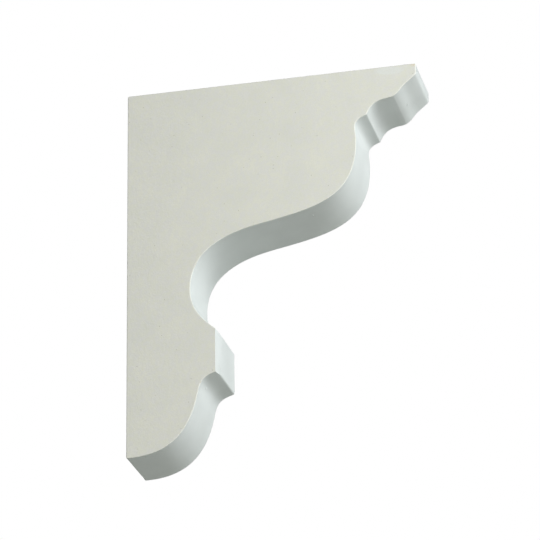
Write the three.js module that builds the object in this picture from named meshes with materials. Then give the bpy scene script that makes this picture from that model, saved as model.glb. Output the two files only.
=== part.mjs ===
// Shelf or eave bracket, cast in one piece in rigid polyurethane foam. Millimetres, +Z up.
// It has two flat side faces, a flat back for the wall, a flat top for the shelf, and one moulded edge.
// The origin is the centre of the back face. -Y points out from the wall, and X runs through the thickness.
import * as THREE from "three";

// Overall size
const HEIGHT = 431.8;
const PROJECTION = 330.2;
const THICKNESS = 76.2;

// Small rounds of the casting: along the edges of both side faces, and at the corners of the back and the top
const ARRIS = 0.8;
const CORNER_ROUND = 1.6;

// Foot: a lobe that swells out from the wall, then a small cove up to the fascia. Slopes are in degrees.
const LOBE_OUT = 80;
const LOBE_RISE = 69;
const LOBE_SLOPE = 79;
const FOOT_COVE_RISE = 22;
const FOOT_COVE_SLOPE = 17;

// Fascia: the short upright face above the foot, with its lower corner and its shoulder slightly rounded
const FASCIA_OUT = 102.4;
const FASCIA_HEIGHT = 47.6;
const FASCIA_ROUND = 2;
const SHOULDER_ROUND = 1.6;
const SHOULDER_SLOPE = 141;

// Neck: the thinnest place, where the long sweep starts
const NECK_OUT = 71.8;
const NECK_RISE = 50.8;

// Long sweep: a hollow that turns into a swell on the straight line from the neck to the belly
const TURN_SHARE = 0.443;
const TURN_SLOPE = 10.5;

// Nose, measured down from the top
const NOSE_HEIGHT = 12.8;
const NOSE_ROUND = 2.5;
const NOSE_SLOPE = 42;

// Members under the nose, each measured back and down from the one before: lip, cove, ridge, throat, belly
const LIP_BACK = 16.5;
const LIP_DROP = 14.7;
const LIP_SLOPE = 51;
const COVE_BACK = 14.9;
const COVE_DROP = 10.6;
const COVE_SLOPE = 5;
const RIDGE_BACK = 25.3;
const RIDGE_DROP = 17.4;
const RIDGE_ROUND = 1;
const RIDGE_SLOPE_BELOW = 20;
const RIDGE_SLOPE_ABOVE = 67.5;
const THROAT_BACK = 13.6;
const THROAT_DROP = 13.5;
const BELLY_PROUD = 1.1;
const BELLY_DROP = 14.9;

// Facets: the longest on a curve, the fewest on a small curve, and the number across each round and arris
const FACET = 3;
const FEWEST_FACETS = 5;
const ROUND_FACETS = 4;
const ARRIS_FACETS = 2;

// Pulls of the curves, as shares of the straight distance: how far each holds its first and its last slope
const LOBE_PULLS = [0.47, 0.42];
const FOOT_COVE_PULLS = [0.53, 0.41];
const NECK_PULLS = [0.37, 0.4];
const HOLLOW_PULLS = [0.5, 0.26];
const SWELL_PULLS = [0.47, 0.49];
const THROAT_PULLS = [0.44, 0.37];
const COVE_PULLS = [0.43, 0.42];
const LIP_PULLS = [0.4, 0.35];
const EVEN_PULLS = [0.33, 0.33];

// Two points of the outline nearer than this are one.
const CLOSEST = 1e-3;

const LEVEL = 0;
const UPRIGHT = 90;
const COLOUR = "#dcdfd6";
const ROUGHNESS = 0.6;

// Every point of the outline is (distance out from the wall, height above the foot).
const at = (out, up) => new THREE.Vector2(out, up);

const heading = (degrees) => {
  const turn = THREE.MathUtils.degToRad(degrees);
  return at(Math.cos(turn), Math.sin(turn));
};

// A curve that leaves its start and meets its end at given slopes
function curve(start, leave, end, meet, [leavePull, meetPull]) {
  const span = start.distanceTo(end);
  const first = start.clone().addScaledVector(heading(leave), span * leavePull);
  const last = end.clone().addScaledVector(heading(meet), -span * meetPull);
  const line = new THREE.CubicBezierCurve(start, first, last, end);
  const facets = Math.max(FEWEST_FACETS, Math.ceil(line.getLength() / FACET));
  return line.getPoints(facets);
}

// A corner taken off by a round that starts and ends the same distance from it
function round(corner, slopeIn, slopeOut, distance) {
  const start = corner.clone().addScaledVector(heading(slopeIn), -distance);
  const end = corner.clone().addScaledVector(heading(slopeOut), distance);
  return new THREE.QuadraticBezierCurve(start, corner, end).getPoints(ROUND_FACETS);
}

// The foot, from the wall to the round over the fascia
function footMembers() {
  const toe = round(at(0, 0), UPRIGHT + 180, LEVEL, CORNER_ROUND);
  const lobeTop = at(LOBE_OUT, LOBE_RISE);
  const fasciaFoot = at(FASCIA_OUT, LOBE_RISE + FOOT_COVE_RISE);
  const shoulder = at(FASCIA_OUT, fasciaFoot.y + FASCIA_HEIGHT);
  const lowerCorner = round(fasciaFoot, FOOT_COVE_SLOPE, UPRIGHT, FASCIA_ROUND);
  return [
    toe,
    curve(toe.at(-1), LEVEL, lobeTop, LOBE_SLOPE, LOBE_PULLS),
    curve(lobeTop, LOBE_SLOPE, lowerCorner[0], FOOT_COVE_SLOPE, FOOT_COVE_PULLS),
    lowerCorner,
    round(shoulder, UPRIGHT, SHOULDER_SLOPE, SHOULDER_ROUND),
  ];
}

// The long sweep, from the round over the fascia by way of the neck to the belly
function sweepMembers(shoulderEnd, belly) {
  const neckUp = LOBE_RISE + FOOT_COVE_RISE + FASCIA_HEIGHT + NECK_RISE;
  const neck = at(NECK_OUT, neckUp);
  const turn = neck.clone().lerp(belly, TURN_SHARE);
  return [
    curve(shoulderEnd, SHOULDER_SLOPE, neck, UPRIGHT, NECK_PULLS),
    curve(neck, UPRIGHT, turn, TURN_SLOPE, HOLLOW_PULLS),
    curve(turn, TURN_SLOPE, belly, UPRIGHT, SWELL_PULLS),
  ];
}

// Corners of the members under the nose, worked out from the nose downwards
function noseStations() {
  const noseFoot = at(PROJECTION, HEIGHT - NOSE_HEIGHT);
  const lip = noseFoot.clone().sub(at(LIP_BACK, LIP_DROP));
  const cove = lip.clone().sub(at(COVE_BACK, COVE_DROP));
  const ridge = cove.clone().sub(at(RIDGE_BACK, RIDGE_DROP));
  const throat = ridge.clone().sub(at(THROAT_BACK, THROAT_DROP));
  const belly = throat.clone().add(at(BELLY_PROUD, -BELLY_DROP));
  return { noseFoot, lip, cove, ridge, throat, belly };
}

// The members from the belly up to the nose
function noseMembers({ noseFoot, lip, cove, ridge, throat, belly }) {
  const ridgeCorner = round(ridge, RIDGE_SLOPE_BELOW, RIDGE_SLOPE_ABOVE, RIDGE_ROUND);
  const noseCorner = round(noseFoot, NOSE_SLOPE, UPRIGHT, NOSE_ROUND);
  return [
    curve(belly, UPRIGHT, throat, UPRIGHT, EVEN_PULLS),
    curve(throat, UPRIGHT, ridgeCorner[0], RIDGE_SLOPE_BELOW, THROAT_PULLS),
    ridgeCorner,
    curve(ridgeCorner.at(-1), RIDGE_SLOPE_ABOVE, cove, COVE_SLOPE, COVE_PULLS),
    curve(cove, COVE_SLOPE, lip, LIP_SLOPE, LIP_PULLS),
    curve(lip, LIP_SLOPE, noseCorner[0], NOSE_SLOPE, EVEN_PULLS),
    noseCorner,
  ];
}

// The whole outline: up the moulded edge, back along the top, and down the wall
function outline() {
  const stations = noseStations();
  const foot = footMembers();
  const members = [
    ...foot,
    ...sweepMembers(foot.at(-1).at(-1), stations.belly),
    ...noseMembers(stations),
    round(at(PROJECTION, HEIGHT), UPRIGHT, LEVEL + 180, CORNER_ROUND),
    round(at(0, HEIGHT), LEVEL + 180, UPRIGHT + 180, CORNER_ROUND),
  ];
  const points = members.flat();
  return points.filter((point, i) => point.distanceTo(points.at(i - 1)) > CLOSEST);
}

// The casting: the outline drawn through the thickness, with every edge rounded to the arris
function bracket() {
  const body = new THREE.ExtrudeGeometry(new THREE.Shape(outline()), {
    depth: THICKNESS - 2 * ARRIS,
    bevelThickness: ARRIS,
    bevelSize: ARRIS,
    bevelOffset: -ARRIS,
    bevelSegments: ARRIS_FACETS,
  });
  body.center();
  body.translate(PROJECTION / 2, 0, 0);
  const material = new THREE.MeshStandardMaterial({ color: COLOUR, roughness: ROUGHNESS });
  const mesh = new THREE.Mesh(body, material);
  mesh.name = "bracket";
  // The drawing plane is stood up, then turned so that the outline points out from the wall.
  mesh.rotation.set(Math.PI / 2, 0, -Math.PI / 2, "ZYX");
  return mesh;
}

const part = new THREE.Group();
part.add(bracket());

export default part;
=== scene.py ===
import math
import random

import bmesh
import bpy
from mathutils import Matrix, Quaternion, Vector


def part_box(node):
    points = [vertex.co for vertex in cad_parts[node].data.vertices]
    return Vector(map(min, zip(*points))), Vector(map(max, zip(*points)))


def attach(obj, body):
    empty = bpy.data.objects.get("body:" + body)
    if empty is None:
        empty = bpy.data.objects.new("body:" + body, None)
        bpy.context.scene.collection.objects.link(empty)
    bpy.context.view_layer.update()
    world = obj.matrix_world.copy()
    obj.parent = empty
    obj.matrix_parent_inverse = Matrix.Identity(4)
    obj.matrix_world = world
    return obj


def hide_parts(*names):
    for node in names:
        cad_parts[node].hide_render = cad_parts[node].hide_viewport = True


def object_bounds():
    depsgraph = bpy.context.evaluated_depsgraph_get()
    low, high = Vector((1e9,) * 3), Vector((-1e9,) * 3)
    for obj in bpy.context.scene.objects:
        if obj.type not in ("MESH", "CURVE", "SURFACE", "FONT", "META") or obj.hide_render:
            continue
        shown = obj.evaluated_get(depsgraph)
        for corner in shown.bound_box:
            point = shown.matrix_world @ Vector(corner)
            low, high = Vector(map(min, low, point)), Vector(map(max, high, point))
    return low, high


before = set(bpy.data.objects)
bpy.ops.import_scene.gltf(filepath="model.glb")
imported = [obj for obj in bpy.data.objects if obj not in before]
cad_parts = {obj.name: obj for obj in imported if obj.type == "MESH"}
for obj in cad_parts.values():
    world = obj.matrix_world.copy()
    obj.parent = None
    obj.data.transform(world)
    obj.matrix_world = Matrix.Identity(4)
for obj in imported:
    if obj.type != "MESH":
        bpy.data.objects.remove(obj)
cad_low, cad_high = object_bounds()


# Camera
# The bracket is seen from below and from its left side, through a long lens about 3.6 m away, so
# that its uprights stay almost parallel. The camera is rolled by less than a degree.
camera_aim = Vector((-0.0381, -0.1619, -0.0137))
camera_distance = 3.592
camera_azimuth = math.radians(-76.79)
camera_elevation = math.radians(-22.75)
camera_roll = math.radians(-0.767)

camera_back = Vector((
    math.sin(camera_azimuth) * math.cos(camera_elevation),
    -math.cos(camera_azimuth) * math.cos(camera_elevation),
    math.sin(camera_elevation),
))
camera_data = bpy.data.cameras.new("camera")
camera_data.sensor_width = 36
camera_data.lens = 219.8
camera_data.clip_end = 100
camera = bpy.data.objects.new("camera", camera_data)
camera.location = camera_aim + camera_back * camera_distance
camera.rotation_mode = "QUATERNION"
level_view = (-camera_back).to_track_quat("-Z", "Y")
camera.rotation_quaternion = level_view @ Quaternion((0, 0, 1), camera_roll)
bpy.context.scene.collection.objects.link(camera)
bpy.context.scene.camera = camera


# Casting
# One piece of rigid polyurethane foam, poured into a mould and primed. Its moulded edge is the mould's
# own smooth skin, with a slow waviness in it. Both side faces are sanded flat to thickness, which
# opens a few small bubbles of the foam, and the arrises are rubbed by hand.
node_low, node_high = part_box("bracket")
half_thickness = node_high.x

# How far a face's normal lies along X: more than this on a side face, on an arris, and anywhere off the
# moulded edge
side_lean = 0.999
arris_lean = 0.15
edge_lean = 0.01

# Points nearer than this are one, and faces that turn less than this are one flat face.
merge_distance = 1e-5
flat_turn = math.radians(1)
any_shape = math.radians(180)

# Arrises: their round, the narrow band inside each, and how deep below a side face they can reach
arris_radius = 0.0008
arris_segments = 4
arris_reach = 0.0012
support_width = 0.0003
sharp_turn = math.radians(60)

# Rows across the moulded edge, a grid over the side faces, and the slow waves of the skin
row_reach = half_thickness - arris_radius - support_width
row_spacing = 0.006
face_grid = 0.008
wave_size = 0.045
wave_depth = 0.0003
smooth_turn = math.radians(35)

# The crease between the cove under the nose and the lip, as (y, z)
lip_crease = Vector((-0.3042, 0.1793))
crease_reach = 0.0012

# Bubbles in the side faces, two pits at the foot, and nibs on the skin, all a margin away from any edge
marks_seed = 11
mark_margin = 0.004
ball_subdivisions = 2
bubble_count = 40
bubble_radius = (0.0002, 0.0004)
pit_radius = 0.0004
pit_places = (Vector((-0.0322, -0.0207, -0.2159)), Vector((-0.0381, -0.0612, -0.1875)))
nib_count = 6
nib_radius = (0.0004, 0.0007)
nib_sunk = 0.6
nib_lean = 0.05
nib_facing = 0.3
nose_nib = Vector((0.003, -0.3122, 0.1867))

# Taper of the fascia: the arris before it is sanded, how far the taper runs and how deep it goes, and the
# block that it takes away
taper_edge = Vector((-0.0381, -0.1024, -0.097))
taper_width = 0.02
taper_depth = 0.0027
taper_block = 0.03
taper_length = 0.07


def edit_selected(mesh_object, kind, wanted):
    """Opens the mesh in edit mode with only the faces, edges or vertices that pass the test selected."""
    if mesh_object.mode != "EDIT":
        bpy.ops.object.select_all(action="DESELECT")
        mesh_object.select_set(True)
        bpy.context.view_layer.objects.active = mesh_object
        bpy.ops.object.mode_set(mode="EDIT")
    bpy.ops.mesh.select_mode(type={"faces": "FACE", "edges": "EDGE", "verts": "VERT"}[kind])
    bpy.ops.mesh.select_all(action="DESELECT")
    mesh = bmesh.from_edit_mesh(mesh_object.data)
    for element in getattr(mesh, kind):
        if wanted(element):
            element.select_set(True)
    mesh.select_flush_mode()
    bmesh.update_edit_mesh(mesh_object.data)


def is_side(face):
    """Whether a face lies flat in one of the two side faces."""
    return abs(face.normal.x) > side_lean


def ends_side(edge):
    """Whether an edge is a sharp one between a side face and the moulded edge."""
    return sum(is_side(face) for face in edge.link_faces) == 1 and edge.calc_face_angle(0) > sharp_turn


def apply_modifier(mesh_object, kind, settings):
    """Adds a modifier with its settings and applies it at once."""
    modifier = mesh_object.modifiers.new(kind.lower(), kind)
    for name, value in settings.items():
        setattr(modifier, name, value)
    bpy.ops.object.select_all(action="DESELECT")
    mesh_object.select_set(True)
    bpy.context.view_layer.objects.active = mesh_object
    bpy.ops.object.modifier_apply(modifier=modifier.name)


casting = bpy.data.objects.new("foam_bracket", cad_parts["bracket"].data.copy())
casting.data.materials.clear()
bpy.context.scene.collection.objects.link(casting)

# The edge alone is kept, drawn out to the full thickness and closed again by two flat sides.
edit_selected(casting, "faces", lambda face: True)
bpy.ops.mesh.remove_doubles(threshold=merge_distance)
edit_selected(casting, "faces", lambda face: abs(face.normal.x) > edge_lean)
bpy.ops.mesh.delete(type="FACE")
edit_selected(casting, "faces", lambda face: True)
bpy.ops.mesh.tris_convert_to_quads(face_threshold=flat_turn, shape_threshold=any_shape)
edge_reach = max(vertex.co.x for vertex in bmesh.from_edit_mesh(casting.data).verts)
bpy.ops.transform.resize(value=(half_thickness / edge_reach, 1, 1), center_override=(0, 0, 0))
for side in (-1, 1):
    edit_selected(casting, "verts", lambda vertex: vertex.co.x * side > 0)
    bpy.ops.mesh.edge_face_add()
edit_selected(casting, "faces", lambda face: True)
bpy.ops.mesh.normals_make_consistent(inside=False)

# The arrises, and a narrow band inside each so that they stay small when the mesh is shaded smooth
edit_selected(casting, "edges", ends_side)
bpy.ops.mesh.bevel(
    offset=arris_radius, segments=arris_segments, affect="EDGES", clamp_overlap=False,
)
edit_selected(casting, "faces", is_side)
bpy.ops.mesh.inset(thickness=support_width)

# Rows across the moulded edge
row_count = round(2 * row_reach / row_spacing)
for row in range(row_count + 1):
    edit_selected(casting, "faces", lambda face: not is_side(face))
    bpy.ops.mesh.bisect(
        plane_co=(row_reach * (2 * row / row_count - 1), 0, 0), plane_no=(1, 0, 0),
    )

# The mould leaves a soft crease where the cove under the nose turns into the lip.
edit_selected(
    casting, "edges",
    lambda edge: all((vertex.co.yz - lip_crease).length < crease_reach for vertex in edge.verts),
)
bpy.ops.mesh.mark_sharp()

# A grid over both side faces
grid_y = round((node_high.y - node_low.y) / face_grid)
grid_z = round((node_high.z - node_low.z) / face_grid)
for step in range(1, grid_y):
    edit_selected(casting, "faces", is_side)
    bpy.ops.mesh.bisect(plane_co=(0, node_low.y + step * face_grid, 0), plane_no=(0, 1, 0))
for step in range(1, grid_z):
    edit_selected(casting, "faces", is_side)
    bpy.ops.mesh.bisect(plane_co=(0, 0, node_low.z + step * face_grid), plane_no=(0, 0, 1))
bpy.ops.object.mode_set(mode="OBJECT")

# The slow waviness of the skin, which dies out towards the arrises and never stands proud
waviness = bpy.data.textures.new("skin_waviness", "CLOUDS")
waviness.noise_scale = wave_size
skin_group = casting.vertex_groups.new(name="skin")
for vertex in casting.data.vertices:
    inward = (row_reach - abs(vertex.co.x)) / row_spacing
    skin_group.add([vertex.index], min(1, max(0, inward)), "REPLACE")
apply_modifier(casting, "DISPLACE", {
    "texture": waviness,
    "texture_coords": "LOCAL",
    "vertex_group": "skin",
    "strength": wave_depth,
    "mid_level": 1,
})
casting.vertex_groups.clear()


def add_ball(centre, radius):
    """A small faceted ball, the shape of a bubble or a nib."""
    bpy.ops.mesh.primitive_ico_sphere_add(subdivisions=ball_subdivisions, radius=radius, location=centre)
    return bpy.context.object


def join_all(balls, name):
    """Makes one object of the balls, with their places in its mesh."""
    bpy.ops.object.select_all(action="DESELECT")
    for ball in balls:
        ball.select_set(True)
    bpy.context.view_layer.objects.active = balls[0]
    bpy.ops.object.join()
    balls[0].name = name
    bpy.ops.object.transform_apply(location=True, rotation=True, scale=True)
    return balls[0]


def combine(operation, shape):
    """Cuts the shape out of the casting or adds it, and then removes it."""
    apply_modifier(casting, "BOOLEAN", {"operation": operation, "object": shape, "solver": "EXACT"})
    bpy.data.objects.remove(shape)


def on_side(y, z):
    """Whether a point of the side face is clear of its edges by the margin."""
    for step_y, step_z in ((-1, -1), (-1, 1), (1, -1), (1, 1)):
        start = Vector((-1, y + step_y * mark_margin, z + step_z * mark_margin))
        if not casting.ray_cast(start, Vector((1, 0, 0)))[0]:
            return False
    return True


# Opened bubbles in the side faces, and the two pits
marks = random.Random(marks_seed)
bubbles = []
bubble_spots = []
while len(bubbles) < bubble_count:
    y = marks.uniform(node_low.y, node_high.y)
    z = marks.uniform(node_low.z, node_high.z)
    side = marks.choice((-1, 1))
    radius = marks.uniform(*bubble_radius)
    if on_side(y, z):
        bubble_spots.append(Vector((side * half_thickness, y, z)))
        bubbles.append(add_ball(bubble_spots[-1], radius))
for place in pit_places:
    spot = casting.closest_point_on_mesh(place)[1]
    bubble_spots.append(spot)
    bubbles.append(add_ball(spot, pit_radius))
combine("DIFFERENCE", join_all(bubbles, "bubble_cutter"))

# The fascia is sanded back in a shallow taper towards the side that is seen.
taper_away = Vector((-taper_depth, -taper_width, 0)).normalized()
taper_middle = taper_edge + Vector((taper_width, taper_depth, 0)) / 2
bpy.ops.mesh.primitive_cube_add(
    size=1, location=taper_middle + taper_away * taper_block / 2,
    rotation=(0, 0, -math.atan2(taper_depth, taper_width)), scale=(taper_block, taper_block, taper_length),
)
taper_cutter = bpy.context.object
bpy.ops.object.transform_apply(location=True, rotation=True, scale=True)
combine("DIFFERENCE", taper_cutter)

# The nibs stand on the skin, clear of the arrises and of the wall, and one of them is high under the nose.
nib_places = [nose_nib]
skin_faces = [
    face for face in casting.data.polygons
    if abs(face.normal.x) < nib_lean and abs(face.center.x) < row_reach - mark_margin
    and face.normal.y < nib_facing
]
while len(nib_places) < nib_count:
    nib_places.append(marks.choice(skin_faces).center.copy())
nibs = []
for place in nib_places:
    spot, normal = casting.closest_point_on_mesh(place)[1:3]
    radius = marks.uniform(*nib_radius)
    nibs.append(add_ball(spot - normal * radius * nib_sunk, radius))
combine("UNION", join_all(nibs, "nib_shape"))

bpy.ops.object.shade_smooth_by_angle(angle=smooth_turn)


def linear(hex_colour):
    """An sRGB hex colour as the linear values that a shader takes."""
    values = [int(hex_colour[i:i + 2], 16) / 255 for i in (1, 3, 5)]
    return [v / 12.92 if v <= 0.04045 else ((v + 0.055) / 1.055) ** 2.4 for v in values] + [1]


def add_node(tree, kind, settings=None, links=None):
    """A node with its settings and the sockets that feed its inputs. A number is an input's place."""
    node = tree.nodes.new(kind)
    for name, value in (settings or {}).items():
        if isinstance(name, int) or name in node.inputs:
            node.inputs[name].default_value = value
        else:
            setattr(node, name, value)
    for name, socket in (links or {}).items():
        tree.links.new(socket, node.inputs[name])
    return node


def new_finish(name):
    """A material with its tree, its shader and the Object coordinates that its patterns follow."""
    finish = bpy.data.materials.new(name)
    finish.use_nodes = True
    tree = finish.node_tree
    shader = tree.nodes["Principled BSDF"]
    place = add_node(tree, "ShaderNodeTexCoord").outputs["Object"]
    return finish, tree, shader, place


def cycles_per_metre(millimetres):
    """The scale of a noise or cell pattern whose features are that many millimetres across."""
    return 1000 / millimetres


# The places of a Mix node's two colours among its inputs, and of the mixed colour among its outputs
under, over, mixed = 6, 7, 2

# Moulded primer skin: an acrylic primer film taken smooth from the mould, so it is cool white and
# satin, with a faint peel and the slightest clouding.
skin, tree, shader, place = new_finish("moulded_primer_skin")
clouds = add_node(
    tree, "ShaderNodeTexNoise", {"Scale": cycles_per_metre(38), "Detail": 3, "Roughness": 0.55},
    {"Vector": place},
)
cloud_share = add_node(
    tree, "ShaderNodeMapRange", {"From Min": 0.35, "From Max": 0.65}, {"Value": clouds.outputs["Fac"]},
)
film = add_node(
    tree, "ShaderNodeMix", {"data_type": "RGBA", under: linear("#E3EAE9"), over: linear("#E7EEED")},
    {"Factor": cloud_share.outputs["Result"]},
)
tree.links.new(film.outputs[mixed], shader.inputs["Base Color"])
sheen_range = add_node(
    tree, "ShaderNodeMapRange", {"From Min": 0.3, "From Max": 0.7, "To Min": 0.42, "To Max": 0.52},
    {"Value": clouds.outputs["Fac"]},
)
tree.links.new(sheen_range.outputs["Result"], shader.inputs["Roughness"])
peel = add_node(
    tree, "ShaderNodeTexNoise", {"Scale": cycles_per_metre(3.5), "Detail": 2}, {"Vector": place},
)
peel_bump = add_node(
    tree, "ShaderNodeBump", {"Strength": 0.25, "Distance": 0.00004}, {"Height": peel.outputs["Fac"]},
)
tree.links.new(peel_bump.outputs["Normal"], shader.inputs["Normal"])

# Sanded primer: the side faces are sanded through a fine grit, so they are duller and warmer, clouded
# where the film is thin, with the grain of the foam under it.
sanded, tree, shader, place = new_finish("sanded_primer")
thin = add_node(
    tree, "ShaderNodeTexNoise", {"Scale": cycles_per_metre(34), "Detail": 4, "Roughness": 0.6},
    {"Vector": place},
)
thin_share = add_node(
    tree, "ShaderNodeMapRange", {"From Min": 0.3, "From Max": 0.7}, {"Value": thin.outputs["Fac"]},
)
clouded = add_node(
    tree, "ShaderNodeMix", {"data_type": "RGBA", under: linear("#D9DBD0"), over: linear("#DFE0D3")},
    {"Factor": thin_share.outputs["Result"]},
)

# A finer mottle turns the yellow of the film to grey. Its pattern is moved off that of the clouds.
tint_place = add_node(tree, "ShaderNodeMapping", {"Location": (0.3, 0.1, 0.7)}, {"Vector": place})
tint = add_node(
    tree, "ShaderNodeTexNoise", {"Scale": cycles_per_metre(5), "Detail": 2, "Roughness": 0.5},
    {"Vector": tint_place.outputs["Vector"]},
)
tint_share = add_node(
    tree, "ShaderNodeMapRange", {"From Min": 0.4, "From Max": 0.62, "To Max": 0.5},
    {"Value": tint.outputs["Fac"]},
)
tinted = add_node(
    tree, "ShaderNodeMix", {"data_type": "RGBA", over: linear("#DADBDA")},
    {"Factor": tint_share.outputs["Result"], under: clouded.outputs[mixed]},
)

# A patch rubbed back to cooler primer lies along the top near the nose, and the top corner of the nose is
# worn to the buff foam.
patch_place = add_node(
    tree, "ShaderNodeMapping", {
        "vector_type": "TEXTURE", "Location": (-0.0381, -0.3, 0.2105), "Rotation": (math.radians(2), 0, 0),
        "Scale": (0.02, 0.018, 0.006),
    }, {"Vector": place},
)
patch = add_node(
    tree, "ShaderNodeTexGradient", {"gradient_type": "SPHERICAL"}, {"Vector": patch_place.outputs["Vector"]},
)
patch_share = add_node(
    tree, "ShaderNodeMapRange", {"From Max": 0.35, "To Max": 0.8}, {"Value": patch.outputs["Fac"]},
)
patched = add_node(
    tree, "ShaderNodeMix", {"data_type": "RGBA", over: linear("#DEE2DE")},
    {"Factor": patch_share.outputs["Result"], under: tinted.outputs[mixed]},
)
corner_place = add_node(
    tree, "ShaderNodeMapping", {
        "vector_type": "TEXTURE", "Location": (-0.0381, -0.3285, 0.2155), "Scale": (0.006, 0.006, 0.004),
    }, {"Vector": place},
)
corner = add_node(
    tree, "ShaderNodeTexGradient", {"gradient_type": "SPHERICAL"}, {"Vector": corner_place.outputs["Vector"]},
)
cornered = add_node(
    tree, "ShaderNodeMix", {"data_type": "RGBA", over: linear("#D9CBB2")},
    {"Factor": corner.outputs["Fac"], under: patched.outputs[mixed]},
)

# Sanding strokes run along the height, slanted a little. They are drawn 2.6 mm wide, far coarser than
# the scratches of the grit, because those would not show.
along = add_node(
    tree, "ShaderNodeMapping", {"Rotation": (math.radians(12), 0, 0), "Scale": (1, 1, 0.18)},
    {"Vector": place},
)
strokes = add_node(
    tree, "ShaderNodeTexNoise", {"Scale": cycles_per_metre(2.6), "Detail": 2, "Roughness": 0.5},
    {"Vector": along.outputs["Vector"]},
)
stroke_share = add_node(
    tree, "ShaderNodeMapRange", {"From Min": 0.58, "From Max": 0.8, "To Max": 0.35},
    {"Value": strokes.outputs["Fac"]},
)
rubbed = add_node(
    tree, "ShaderNodeMix", {"data_type": "RGBA", over: linear("#E4E5DC")},
    {"Factor": stroke_share.outputs["Result"], under: cornered.outputs[mixed]},
)

# The grain of the foam is drawn a millimetre wide, coarser than the real one, because a finer one would
# not show.
grain = add_node(
    tree, "ShaderNodeTexNoise", {"Scale": cycles_per_metre(1.1), "Detail": 2, "Roughness": 0.6},
    {"Vector": place},
)
grain_share = add_node(
    tree, "ShaderNodeMapRange", {"From Min": 0.35, "From Max": 0.7, "To Max": 0.3},
    {"Value": grain.outputs["Fac"]},
)
grained = add_node(
    tree, "ShaderNodeMix", {"data_type": "RGBA", over: linear("#CBCCC0")},
    {"Factor": grain_share.outputs["Result"], under: rubbed.outputs[mixed]},
)
grain_bump = add_node(
    tree, "ShaderNodeBump", {"Strength": 0.3, "Distance": 0.00005}, {"Height": grain.outputs["Fac"]},
)

# Pinholes about a millimetre across lie 11 mm or so apart. Each is painted darker, partly for the bare foam
# at its bottom and partly as painted shade inside the hole.
cells = add_node(
    tree, "ShaderNodeTexVoronoi", {"Scale": cycles_per_metre(11), "Randomness": 1}, {"Vector": place},
)
hole = add_node(
    tree, "ShaderNodeMapRange", {"From Min": 0.03, "From Max": 0.055, "To Min": 1, "To Max": 0},
    {"Value": cells.outputs["Distance"]},
)
pinholes_foam_and_shade = add_node(
    tree, "ShaderNodeMix", {"data_type": "RGBA", over: linear("#B4B3A3")},
    {"Factor": hole.outputs["Result"], under: grained.outputs[mixed]},
)
tree.links.new(pinholes_foam_and_shade.outputs[mixed], shader.inputs["Base Color"])
hole_bump = add_node(
    tree, "ShaderNodeBump", {"Strength": 0.6, "Distance": 0.0002, "invert": True},
    {"Height": hole.outputs["Result"], "Normal": grain_bump.outputs["Normal"]},
)

# The sanding is rougher towards the wall, where it leaves a shallow relief about 4 mm across.
axes = add_node(tree, "ShaderNodeSeparateXYZ", links={"Vector": place})
wall_share = add_node(
    tree, "ShaderNodeMapRange", {"From Min": -0.14, "From Max": -0.03, "To Min": 0.1, "To Max": 1},
    {"Value": axes.outputs["Y"]},
)
relief = add_node(
    tree, "ShaderNodeTexNoise",
    {"Scale": cycles_per_metre(4), "Detail": 3, "Roughness": 0.6, "Distortion": 0.8}, {"Vector": place},
)
relief_height = add_node(
    tree, "ShaderNodeMath", {"operation": "MULTIPLY"},
    {0: relief.outputs["Fac"], 1: wall_share.outputs["Result"]},
)
relief_bump = add_node(
    tree, "ShaderNodeBump", {"Strength": 0.6, "Distance": 0.0003},
    {"Height": relief_height.outputs["Value"], "Normal": hole_bump.outputs["Normal"]},
)
tree.links.new(relief_bump.outputs["Normal"], shader.inputs["Normal"])
dullness = add_node(
    tree, "ShaderNodeMapRange", {"To Min": 0.6, "To Max": 0.72}, {"Value": thin.outputs["Fac"]},
)
tree.links.new(dullness.outputs["Result"], shader.inputs["Roughness"])

# Rubbed arris: along the arrises the primer is thinned by hand sanding, so they are duller and warmer than
# the skin, with a few buff flecks where the foam itself shows.
arris, tree, shader, place = new_finish("rubbed_arris_primer")
shader.inputs["Roughness"].default_value = 0.62
wear = add_node(
    tree, "ShaderNodeTexNoise", {"Scale": cycles_per_metre(4.5), "Detail": 3, "Roughness": 0.6},
    {"Vector": place},
)
wear_share = add_node(
    tree, "ShaderNodeMapRange", {"From Min": 0.6, "From Max": 0.68, "To Max": 0.55},
    {"Value": wear.outputs["Fac"]},
)
flecked = add_node(
    tree, "ShaderNodeMix", {"data_type": "RGBA", under: linear("#D7DAD2"), over: linear("#C4BDA5")},
    {"Factor": wear_share.outputs["Result"]},
)
tree.links.new(flecked.outputs[mixed], shader.inputs["Base Color"])

# Opened foam: inside the bubbles and pits the bare foam shows, buff and matte, with cells 0.3 mm wide.
opened, tree, shader, place = new_finish("opened_foam")
shader.inputs["Roughness"].default_value = 0.9
cell = add_node(tree, "ShaderNodeTexVoronoi", {"Scale": cycles_per_metre(0.3)}, {"Vector": place})
foam = add_node(
    tree, "ShaderNodeMix", {"data_type": "RGBA", under: linear("#9B9887"), over: linear("#B5B19D")},
    {"Factor": cell.outputs["Distance"]},
)
tree.links.new(foam.outputs[mixed], shader.inputs["Base Color"])

for finish in (skin, sanded, arris, opened):
    casting.data.materials.append(finish)
skin_slot, sanded_slot, arris_slot, opened_slot = range(4)
for face in casting.data.polygons:
    near_side = abs(face.center.x) > half_thickness - arris_reach
    if near_side and is_side(face):
        face.material_index = sanded_slot
    elif min((face.center - spot).length for spot in bubble_spots) < pit_radius:
        face.material_index = opened_slot
    elif near_side and abs(face.normal.x) > arris_lean:
        face.material_index = arris_slot
    else:
        face.material_index = skin_slot

# The rim of every opened bubble is crisp.
edit_selected(
    casting, "edges",
    lambda edge: len({face.material_index == opened_slot for face in edge.link_faces}) == 2,
)
bpy.ops.mesh.mark_sharp()
bpy.ops.object.mode_set(mode="OBJECT")

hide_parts("bracket")
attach(casting, "root")


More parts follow.
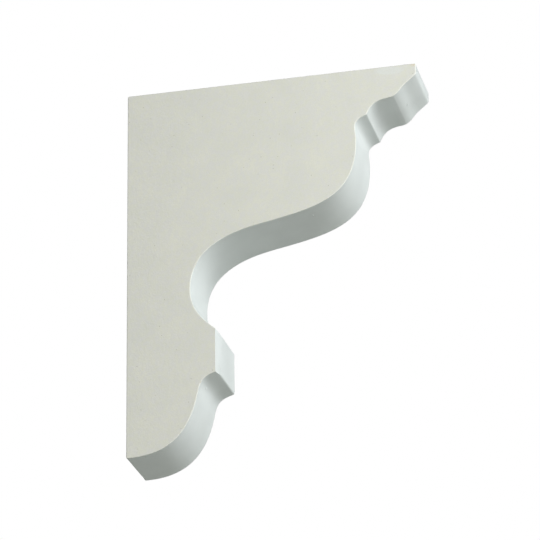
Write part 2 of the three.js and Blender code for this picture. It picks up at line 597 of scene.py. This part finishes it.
# Studio
# A pale floor well below the bracket, a white backdrop, and five soft lights: a strong one in front and to
# the right, a weak one beside the camera, one from below, and two faint ones from behind.
surround_strength = 0.02
backdrop_strength = 1
world = bpy.data.worlds.new("studio")
bpy.context.scene.world = world
world.use_nodes = True
world_tree = world.node_tree
world_tree.nodes.clear()
surround = add_node(
    world_tree, "ShaderNodeBackground", {"Color": linear("#FFFFFF"), "Strength": surround_strength},
)
backdrop = add_node(
    world_tree, "ShaderNodeBackground", {"Color": linear("#FFFFFF"), "Strength": backdrop_strength},
)
seen = add_node(world_tree, "ShaderNodeLightPath")
shown = add_node(
    world_tree, "ShaderNodeMixShader", links={
        "Fac": seen.outputs["Is Camera Ray"],
        1: surround.outputs["Background"],
        2: backdrop.outputs["Background"],
    },
)
add_node(world_tree, "ShaderNodeOutputWorld", links={"Surface": shown.outputs["Shader"]})

floor_drop = 1.9
floor_radius = 12
floor_sides = 96
floor_glow_share = 0.8
bpy.ops.object.select_all(action="DESELECT")
bpy.ops.mesh.primitive_circle_add(
    vertices=floor_sides, radius=floor_radius, fill_type="NGON", location=(0, 0, -floor_drop),
)
floor = bpy.context.object
floor.name = "floor"
floor_paint = bpy.data.materials.new("pale_floor_paint")
floor_paint.use_nodes = True
floor_tree = floor_paint.node_tree
floor_shader = floor_tree.nodes["Principled BSDF"]
floor_shader.inputs["Base Color"].default_value = linear("#DEDFD7")
floor_shader.inputs["Roughness"].default_value = 0.8

# The lamps are aimed at the bracket and leave the floor dim, so it is shown pale without lighting the
# undersides.
floor_glow = add_node(floor_tree, "ShaderNodeEmission", {"Color": linear("#C6C7C2"), "Strength": 1})
floor_seen = add_node(floor_tree, "ShaderNodeLightPath")
glow_share = add_node(
    floor_tree, "ShaderNodeMath", {"operation": "MULTIPLY", 1: floor_glow_share},
    {0: floor_seen.outputs["Is Camera Ray"]},
)
floor_look = add_node(
    floor_tree, "ShaderNodeMixShader", links={
        "Fac": glow_share.outputs["Value"],
        1: floor_shader.outputs["BSDF"],
        2: floor_glow.outputs["Emission"],
    },
)
floor_output = floor_tree.nodes["Material Output"]
floor_tree.links.new(floor_look.outputs["Shader"], floor_output.inputs["Surface"])
floor.data.materials.append(floor_paint)

# Each lamp has its azimuth and elevation in degrees, its distance and size in metres, and its power in watts.
centre = (cad_low + cad_high) / 2
for name, azimuth, elevation, distance, size, power in (
    ("key", -26, 19, 6.0, 2.0, 234),
    ("front", -50, 10, 2.0, 1.0, 26),
    ("low", -125, -30, 3.0, 1.6, 15),
    ("back", 150, 35, 1.4, 0.8, 8),
    ("right", 118, 12, 1.4, 0.8, 5),
):
    turn = math.radians(azimuth)
    lift = math.radians(elevation)
    towards = Vector((
        math.sin(turn) * math.cos(lift),
        -math.cos(turn) * math.cos(lift),
        math.sin(lift),
    ))
    lamp_data = bpy.data.lights.new(name, "AREA")
    lamp_data.size = size
    lamp_data.energy = power
    lamp = bpy.data.objects.new(name, lamp_data)
    lamp.location = centre + towards * distance
    lamp.rotation_euler = (-towards).to_track_quat("-Z", "Y").to_euler()
    bpy.context.scene.collection.objects.link(lamp)

bpy.context.scene.view_settings.view_transform = "Standard"
